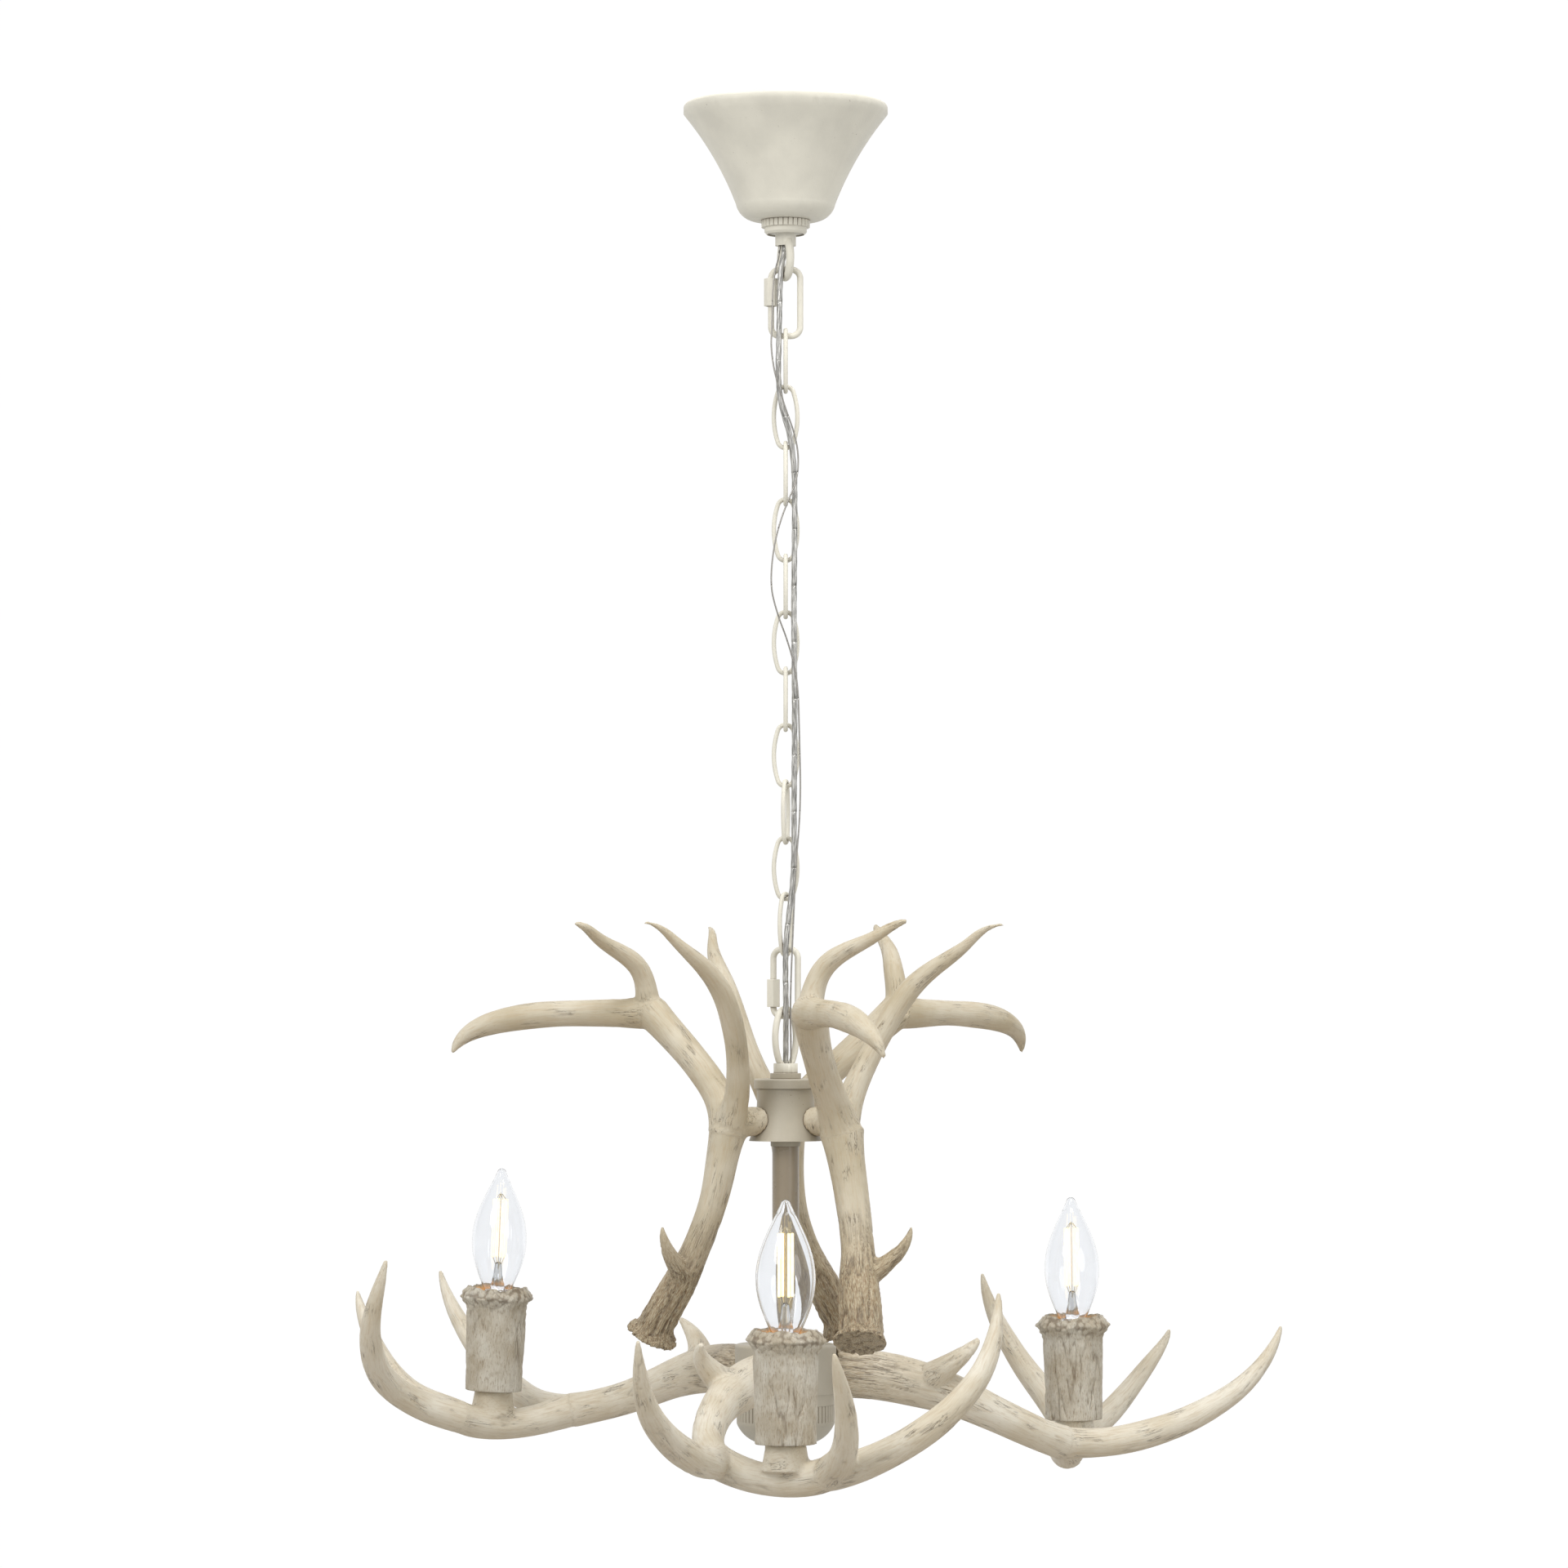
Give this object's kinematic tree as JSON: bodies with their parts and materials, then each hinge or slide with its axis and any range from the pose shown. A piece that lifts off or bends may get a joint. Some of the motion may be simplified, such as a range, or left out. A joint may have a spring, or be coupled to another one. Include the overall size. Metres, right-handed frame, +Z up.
{
  "type": "antler chandelier",
  "caption": "Hanging chandelier with cast antler arms, candle lamps on the lower arms, a forked antler crown, a chain with cord, and a bell canopy.",
  "frame": {"origin": "centre of the mounting bar's slot pattern in the ceiling plane, on the fitting's hanging axis", "axes": "+Z up, out of the ceiling face; +X along the mounting bar's slots; -Y toward the front lamp"},
  "size_m": [0.5854, 0.5375, 0.8433],
  "materials": {
    "cream_metal": "matte warm grey cream paint",
    "taupe_metal": "satin taupe paint",
    "zinc_steel": "zinc plated",
    "green_steel": "green ground screw",
    "antler_resin": "grooved ivory resin with brown stain",
    "bark_resin": "bark-ridged resin",
    "white_plastic": "plain moulded",
    "contact_brass": "bright",
    "bulb_metal": "nickel plated",
    "clear_glass": "clear",
    "filament": "glass stem with warm coated filaments",
    "clear_cable": "clear sheath over silver strands",
    "bare_copper": "bare copper wire"
  },
  "bodies": {
    "ceiling_fixing": {"mounting_bar": "zinc_steel", "ground_screw": "green_steel", "threaded_nipple": "zinc_steel", "nipple_nuts": "zinc_steel", "wire_connectors": "white_plastic", "canopy_loop": "cream_metal", "supply_cable": "clear_cable", "ground_wire": "bare_copper"},
    "canopy_cover": {"canopy": "cream_metal", "canopy_ring": "cream_metal"},
    "top_quick_link": {"quick_link_top": "cream_metal"},
    "top_sleeve": {"quick_link_top_sleeve": "cream_metal"},
    "link_01": {"chain_link_01": "cream_metal"},
    "link_02": {"chain_link_02": "cream_metal"},
    "link_03": {"chain_link_03": "cream_metal"},
    "link_04": {"chain_link_04": "cream_metal"},
    "link_05": {"chain_link_05": "cream_metal"},
    "link_06": {"chain_link_06": "cream_metal"},
    "link_07": {"chain_link_07": "cream_metal"},
    "link_08": {"chain_link_08": "cream_metal"},
    "link_09": {"chain_link_09": "cream_metal"},
    "link_10": {"chain_link_10": "cream_metal"},
    "link_11": {"chain_link_11": "cream_metal"},
    "bottom_quick_link": {"quick_link_bottom": "cream_metal"},
    "bottom_sleeve": {"quick_link_bottom_sleeve": "cream_metal"},
    "chandelier": {"hub_loop": "cream_metal", "hub_washer": "cream_metal", "hub_lid": "cream_metal", "upper_hub": "cream_metal", "stem_collar": "cream_metal", "stem_tube": "taupe_metal", "tie_pipe": "zinc_steel", "hickey": "zinc_steel", "lower_hub": "cream_metal", "reeded_cup": "cream_metal", "finial": "cream_metal", "antler_screws": "zinc_steel", "arm_bolts": "zinc_steel", "socket_pipes": "zinc_steel", "lampholders": "white_plastic", "lamp_contacts": "contact_brass", "lamp_leads": "clear_cable", "upper_antler_left": "antler_resin", "upper_antler_right": "antler_resin", "upper_antler_back": "antler_resin", "lower_antler_front": "antler_resin", "lower_antler_left": "antler_resin", "lower_antler_right": "antler_resin", "candle_cup_front": "bark_resin", "candle_cup_left": "bark_resin", "candle_cup_right": "bark_resin"},
    "bulb_front": {"bulb_base_front": "bulb_metal", "bulb_glass_front": "clear_glass", "bulb_filaments_front": "filament"},
    "bulb_left": {"bulb_base_left": "bulb_metal", "bulb_glass_left": "clear_glass", "bulb_filaments_left": "filament"},
    "bulb_right": {"bulb_base_right": "bulb_metal", "bulb_glass_right": "clear_glass", "bulb_filaments_right": "filament"}
  },
  "joints": [
    {"name": "canopy_slide", "type": "slide", "parent": "ceiling_fixing", "child": "canopy_cover", "axis": [0, 0, -1], "range_m": [0, 0.02]},
    {"name": "top_quick_link_swing", "type": "hinge", "parent": "ceiling_fixing", "child": "top_quick_link", "pos_m": [0, 0, -0.1054], "axis": [0.342, -0.9397, 0], "range_deg": [-10, 10], "deforming": ["supply_cable", "ground_wire"]},
    {"name": "top_sleeve_screw", "type": "slide", "parent": "top_quick_link", "child": "top_sleeve", "axis": [0, 0, -1], "range_m": [0, 0.008]},
    {"name": "link_01_swing", "type": "hinge", "parent": "top_quick_link", "child": "link_01", "pos_m": [0, 0, -0.1414], "axis": [1, 0, 0], "range_deg": [-10, 10]},
    {"name": "link_02_swing", "type": "hinge", "parent": "link_01", "child": "link_02", "pos_m": [0, 0, -0.17538], "axis": [0, 1, 0], "range_deg": [-10, 10]},
    {"name": "link_03_swing", "type": "hinge", "parent": "link_02", "child": "link_03", "pos_m": [0, 0, -0.20988], "axis": [1, 0, 0], "range_deg": [-10, 10]},
    {"name": "link_04_swing", "type": "hinge", "parent": "link_03", "child": "link_04", "pos_m": [0, 0, -0.24438], "axis": [0, 1, 0], "range_deg": [-10, 10]},
    {"name": "link_05_swing", "type": "hinge", "parent": "link_04", "child": "link_05", "pos_m": [0, 0, -0.27887], "axis": [1, 0, 0], "range_deg": [-10, 10]},
    {"name": "link_06_swing", "type": "hinge", "parent": "link_05", "child": "link_06", "pos_m": [0, 0, -0.31338], "axis": [0, 1, 0], "range_deg": [-10, 10]},
    {"name": "link_07_swing", "type": "hinge", "parent": "link_06", "child": "link_07", "pos_m": [0, 0, -0.34787], "axis": [1, 0, 0], "range_deg": [-10, 10]},
    {"name": "link_08_swing", "type": "hinge", "parent": "link_07", "child": "link_08", "pos_m": [0, 0, -0.38238], "axis": [0, 1, 0], "range_deg": [-10, 10]},
    {"name": "link_09_swing", "type": "hinge", "parent": "link_08", "child": "link_09", "pos_m": [0, 0, -0.41687], "axis": [1, 0, 0], "range_deg": [-10, 10]},
    {"name": "link_10_swing", "type": "hinge", "parent": "link_09", "child": "link_10", "pos_m": [0, 0, -0.45138], "axis": [0.2079, 0.9781, 0], "range_deg": [-10, 10]},
    {"name": "link_11_swing", "type": "hinge", "parent": "link_10", "child": "link_11", "pos_m": [0, 0, -0.48588], "axis": [1, 0, 0], "range_deg": [-10, 10]},
    {"name": "bottom_quick_link_swing", "type": "hinge", "parent": "link_11", "child": "bottom_quick_link", "pos_m": [0, 0, -0.52038], "axis": [0.5, 0.866, 0], "range_deg": [-10, 10]},
    {"name": "bottom_sleeve_screw", "type": "slide", "parent": "bottom_quick_link", "child": "bottom_sleeve", "axis": [0, 0, 1], "range_m": [0, 0.008]},
    {"name": "chandelier_swing", "type": "hinge", "parent": "bottom_quick_link", "child": "chandelier", "pos_m": [0, 0, -0.5575], "axis": [0.8387, -0.5446, 0], "range_deg": [-10, 10]},
    {"name": "bulb_front_unscrew", "type": "slide", "parent": "chandelier", "child": "bulb_front", "axis": [0, 0, 1], "range_m": [0, 0.025]},
    {"name": "bulb_left_unscrew", "type": "slide", "parent": "chandelier", "child": "bulb_left", "axis": [0.0393, -0.0227, 0.999], "range_m": [0, 0.025]},
    {"name": "bulb_right_unscrew", "type": "slide", "parent": "chandelier", "child": "bulb_right", "axis": [-0.0151, -0.0087, 0.9998], "range_m": [0, 0.025]}
  ]
}
